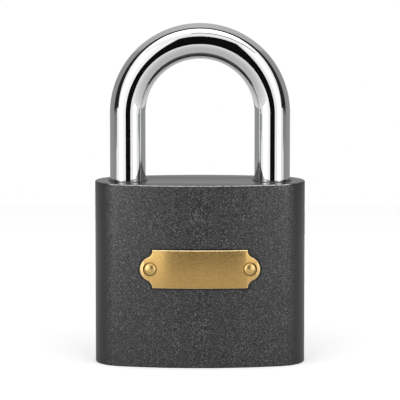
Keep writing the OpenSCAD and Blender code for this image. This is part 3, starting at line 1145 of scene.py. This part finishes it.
class KeptNodes:
    """The CAD nodes whose shape is right, and the finish that each one gets."""

    finishes: dict[str, Finish] = {
        "bolt": PLAIN_STEEL,
        "bolt_bore_plug": ENAMEL,
        "key_plug": TURNED_BRASS,
        "plug_cam": PLAIN_STEEL,
        "plug_keeper_pin": ENAMEL,
        "shackle_keeper_pin": ENAMEL,
        **{f"key_pin_{i}": TURNED_BRASS for i in range(1, 6)},
        **{f"driver_pin_{i}": PLAIN_STEEL for i in range(1, 6)},
        **{f"chamber_cap_{i}": ENAMEL for i in range(1, 6)},
    }

    def dress(self) -> None:
        """Gives each kept node its finish."""
        for name, finish in self.finishes.items():
            node = frame["nodes"][name]
            node.data.materials.clear()
            node.data.materials.append(finish.build())
            LOG.info("%s: kept from the frame, in %s", name, finish.name)


@dataclass(frozen=True)
class Lamp:
    """A square softbox that faces the lock and lights it, and that reflections leave to the reflectors."""

    name: str
    azimuth: float
    elevation: float
    size: float
    radiance: float
    distance: float = 1.1
    aim_height: float = 60 * MM

    def build(self) -> None:
        """Makes the lamp. Azimuth 0 is in front of the lock and 90 on its right."""
        azimuth, elevation = math.radians(self.azimuth), math.radians(self.elevation)
        level = math.cos(elevation)
        away = Vector((math.sin(azimuth) * level, -math.cos(azimuth) * level, math.sin(elevation)))
        data = bpy.data.lights.new(self.name, "AREA")
        data.size = self.size
        data.energy = self.radiance * math.pi * self.size**2
        made = bpy.data.objects.new(self.name, data)
        made.location = Vector((0, 0, self.aim_height)) + away * self.distance
        made.rotation_euler = away.to_track_quat("Z", "Y").to_euler()
        made.visible_camera = False
        made.visible_glossy = False
        bpy.context.scene.collection.objects.link(made)


@dataclass(frozen=True)
class Reflector:
    """A curved card that only reflections see, part of a drum round one axis of the studio.

    Angles about Z start in front and go to the right, those about X start in front and go up, and those
    about Y start on the right and go up. The card may lean, which moves its far edge on by some degrees. It
    may have a waist, which is its reach half way along. Its first and last share may fade to another
    radiance, and so may both ends of its reach.
    """

    name: str
    axis: Axis
    turns: tuple[float, float]
    reach: tuple[float, float]
    radius: float
    radiance: tuple[float, float]
    lean: float = 0.0
    waist: tuple[float, float] | None = None
    fade: float = 0.0
    fade_to: float = 0.0
    ends: float | None = None

    def rows(self) -> list[tuple[float, float, float, float | None]]:
        """The reach, waist, lean and own radiance of each row of points that runs along the card."""
        near, far = self.reach
        waist = self.waist or self.reach
        rows = [(near, waist[0], 0.0, self.ends), (far, waist[1], self.lean, self.ends)]
        if self.ends is not None:
            middle = (near + far) / 2
            rows.insert(1, (middle, middle, self.lean / 2, None))
        return rows

    def point(self, turn: float, reach: float) -> tuple[float, float, float]:
        """The place at an angle in degrees and at a distance along the drum's axis."""
        across = self.radius * math.cos(math.radians(turn))
        up = self.radius * math.sin(math.radians(turn))
        if self.axis is Axis.Z:
            return (up, -across, reach)
        if self.axis is Axis.X:
            return (reach, -across, up)
        return (across, reach, up)

    def level(self, share: float) -> float:
        """The radiance at a share of the way along the card."""
        plain = self.radiance[0] + share * (self.radiance[1] - self.radiance[0])
        if not self.fade:
            return plain
        faded = max(0.0, 1 - min(share, 1 - share) / self.fade)
        return plain + (self.fade_to - plain) * faded

    def build(self) -> None:
        """Makes the card."""
        mesh = bmesh.new()
        glow = mesh.verts.layers.float.new("glow")
        columns = []
        for i in range(REFLECTOR_STEPS + 1):
            share = i / REFLECTOR_STEPS
            turn = self.turns[0] + share * (self.turns[1] - self.turns[0])
            column = []
            for end, waist, lean, own in self.rows():
                reach = end + (waist - end) * math.sin(math.pi * share)
                vert = mesh.verts.new(self.point(turn + lean, reach))
                vert[glow] = self.level(share) if own is None else own
                column.append(vert)
            columns.append(column)
        for near, far in zip(columns, columns[1:]):
            for row in range(len(near) - 1):
                mesh.faces.new((near[row], far[row], far[row + 1], near[row + 1]))
        made = mesh_object(self.name, mesh)
        made.visible_camera = False
        made.visible_diffuse = False
        made.visible_shadow = False
        made.visible_transmission = False
        made.data.materials.append(self.material())

    def material(self) -> bpy.types.Material:
        """The material that all reflectors share, whose glow is an attribute of the mesh."""
        made = bpy.data.materials.get("reflector")
        if made is not None:
            return made
        made = bpy.data.materials.new("reflector")
        made.use_nodes = True
        graph = Graph(made.node_tree)
        level = graph.node("ShaderNodeAttribute", attribute_name="glow").outputs["Fac"]
        shine = graph.node("ShaderNodeEmission", {0: (1, 1, 1, 1), 1: level})
        made.node_tree.links.new(shine.outputs[0], made.node_tree.nodes["Material Output"].inputs[0])
        return made


REFLECTOR_STEPS = 72
LAMPS = (
    Lamp("left_lamp", -45, 12, 1.3, 0.80),
    Lamp("right_lamp", 45, 12, 1.3, 0.70),
    Lamp("top_lamp", 0, 66, 1.3, 1.00),
)
REFLECTORS = (
    Reflector("gap_behind_camera", Axis.Z, (-18, 30), (-0.45, 0.95), 1.20, (0.005, 0.005)),
    Reflector("left_softbox", Axis.Z, (-60, -14), (0.05, 1.05), 1.10, (1.10, 1.14)),
    Reflector("left_table", Axis.Z, (-78, -14), (-0.45, 0.05), 1.10, (1.02, 1.14)),
    Reflector("right_softbox", Axis.Z, (17, 60), (0.05, 0.95), 1.10, (1.02, 1.08), 10),
    Reflector("right_table", Axis.Z, (17, 78), (-0.45, 0.05), 1.10, (1.02, 0.90)),
    Reflector("left_core", Axis.Z, (-59, -31), (-0.30, 1.05), 1.08, (3.40, 3.40), fade=0.5, fade_to=1.10),
    Reflector("right_core", Axis.Z, (33, 59), (-0.30, 0.95), 1.08, (2.60, 2.60), fade=0.5, fade_to=1.03),
    Reflector("left_side", Axis.Z, (-168, -76), (-0.50, 2.00), 1.30, (0.36, 0.30)),
    Reflector("right_side", Axis.Z, (76, 168), (-0.50, 2.00), 1.30, (0.30, 0.36)),
    Reflector("overhead", Axis.X, (47.5, 91), (-2.00, 2.00), 1.12, (1.00, 1.50)),
    Reflector("overhead_core", Axis.X, (67, 85), (-0.60, 0.60), 1.10, (3.00, 3.00)),
    Reflector("overhead_seam", Axis.X, (58, 62), (-0.10, 0.90), 1.08, (0.05, 0.05)),
    Reflector(
        "side_gap", Axis.Y, (-3, 183), (-0.60, 0.13), 1.05, (0.02, 0.02),
        waist=(0.00, 0.17), fade=0.03, fade_to=0.30,
    ),
    Reflector("back_top", Axis.X, (96, 160), (-1.20, 1.20), 1.25, (0.62, 0.55), ends=0.42),
    Reflector("back_wall", Axis.Z, (164, 196), (-0.50, 0.60), 1.32, (0.70, 0.70)),
)


@dataclass(frozen=True)
class Studio:
    """The plain pale floor, the white surroundings, the lamps, the reflectors and the camera."""

    aim_height: float = 58.35 * MM
    distance: float = 1.2
    pitch: float = 8.07
    lens: float = 302.1
    floor_radius: float = 0.4
    floor_drop: float = 0.03 * MM
    floor_colour: float = 0.66
    floor_seen: float = 0.90
    floor_white: float = 0.37
    floor_mirrored: float = 0.02
    floor_rim: float = 0.38
    floor_plain: float = 0.13
    ambient: float = 0.42

    def build(self) -> None:
        """Makes everything that isn't part of the lock."""
        bpy.context.scene.view_settings.view_transform = "Standard"
        self.camera()
        self.world()
        self.floor()
        for item in (*LAMPS, *REFLECTORS):
            item.build()

    def camera(self) -> None:
        """Makes the scene's camera, level with the front of the lock and looking slightly down."""
        data = bpy.data.cameras.new("camera")
        data.lens = self.lens
        data.sensor_width = 36
        made = bpy.data.objects.new("camera", data)
        pitch = math.radians(self.pitch)
        back, up = self.distance * math.cos(pitch), self.distance * math.sin(pitch)
        made.location = (0, -back, self.aim_height + up)
        made.rotation_euler = (math.pi / 2 - pitch, 0, 0)
        bpy.context.scene.collection.objects.link(made)
        bpy.context.scene.camera = made

    def world(self) -> None:
        """Makes the surroundings white where they are seen, and plain soft light elsewhere."""
        world = bpy.data.worlds.new("surroundings")
        world.use_nodes = True
        bpy.context.scene.world = world
        graph = Graph(world.node_tree)
        path = graph.node("ShaderNodeLightPath")
        seen = graph.math("MAXIMUM", path.outputs["Is Camera Ray"], path.outputs["Is Glossy Ray"])
        seen = graph.math("MAXIMUM", seen, path.outputs["Is Transmission Ray"])
        back = world.node_tree.nodes["Background"]
        back.inputs[0].default_value = (1, 1, 1, 1)
        world.node_tree.links.new(graph.spread(seen, 0, 1, self.ambient, 1.0), back.inputs[1])

    def floor(self) -> None:
        """Makes a pale floor that runs into the white, keeps the lock's shadow and is clear from below."""
        mesh = bmesh.new()
        below = Matrix.Translation((0, 0, -self.floor_drop))
        bmesh.ops.create_circle(mesh, cap_ends=True, segments=96, radius=self.floor_radius, matrix=below)
        made = mesh_object("floor", mesh)
        material = bpy.data.materials.new("pale_floor")
        material.use_nodes = True
        graph = Graph(material.node_tree)
        shader = material.node_tree.nodes["Principled BSDF"]
        shader.inputs["Roughness"].default_value = 0.9
        shader.inputs["Specular IOR Level"].default_value = 0.0
        shader.inputs["Emission Color"].default_value = (1, 1, 1, 1)
        path = graph.node("ShaderNodeLightPath")
        seen = graph.math("MAXIMUM", path.outputs["Is Camera Ray"], path.outputs["Is Transmission Ray"])
        pale = graph.mix(seen, (*3 * (self.floor_colour,), 1), (*3 * (self.floor_seen,), 1))
        material.node_tree.links.new(pale, shader.inputs["Base Color"])
        white = graph.math("MULTIPLY", seen, self.floor_white)
        place = graph.node("ShaderNodeTexCoord").outputs["Object"]
        away = graph.node("ShaderNodeVectorMath", {0: place}, operation="LENGTH").outputs["Value"]
        paler = graph.spread(away, self.floor_plain, self.floor_radius, self.floor_mirrored, self.floor_rim)
        mirrored = graph.math("MULTIPLY", path.outputs["Is Glossy Ray"], paler)
        material.node_tree.links.new(graph.math("ADD", white, mirrored), shader.inputs["Emission Strength"])
        under = graph.node("ShaderNodeNewGeometry").outputs["Backfacing"]
        clear = graph.node("ShaderNodeBsdfTransparent").outputs[0]
        open_below = graph.node("ShaderNodeMixShader", {0: under, 1: shader.outputs[0], 2: clear})
        surface = material.node_tree.nodes["Material Output"].inputs["Surface"]
        material.node_tree.links.new(open_below.outputs[0], surface)
        made.data.materials.append(material)


def middle(node: str) -> Vector:
    """The middle of a CAD node's box."""
    low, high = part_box(node)
    return (low + high) / 2


def build_springs() -> None:
    """Winds the shackle spring and the five pin springs."""
    low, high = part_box("shackle_spring")
    wire = SHACKLE_WIRE
    CoilSpring(
        "shackle_spring", (high.x - low.x) / 2 - wire, wire, high.z - low.z, COILS, Axis.Z,
        (Vector(((low.x + high.x) / 2, 0, low.z)),),
    ).build("casing", ("shackle_spring",))
    names = [f"pin_spring_{i}" for i in range(1, 6)]
    low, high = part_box(names[0])
    wire = PIN_WIRE
    feet = tuple(Vector((0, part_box(name)[0].y, middle(name).z)) for name in names)
    CoilSpring(
        "pin_springs", (high.z - low.z) / 2 - wire, wire, high.y - low.y, COILS, Axis.Y, feet
    ).build("casing", names)


def main() -> None:
    """Builds the lock and the studio round it."""
    logging.basicConfig(level=logging.INFO, format="%(name)s: %(message)s")
    Studio().build()
    low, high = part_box("nameplate")
    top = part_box("body_casting")[1]
    outline = Outline(width=2 * top.x, depth=2 * top.y, end_radius=END_RADIUS)
    plate = Nameplate(outline=outline, height=high.z - low.z, middle_z=(low.z + high.z) / 2)
    plate.build()
    CastBody(outline=outline, height=top.z, plate=plate).build()
    left, right = middle("rivet_left"), middle("rivet_right")
    middle_z = (left.z + right.z) / 2
    Rivets(outline=outline, spacing=RIVET_SPACING, middle_z=middle_z, plate_proud=PLATE_PROUD).build()
    low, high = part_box("shackle")
    rod = (high.y - low.y) / 2
    lift = next(joint for joint in frame["joints"] if joint["name"] == "shackle_lift")["range_m"][1]
    Shackle(
        rod_radius=rod, leg_x=high.x - rod, top=high.z, toe_end=TOE_END, heel_end=low.z, lift=lift
    ).build()
    build_springs()
    KeptNodes().dress()


if __name__ == "__main__":
    main()
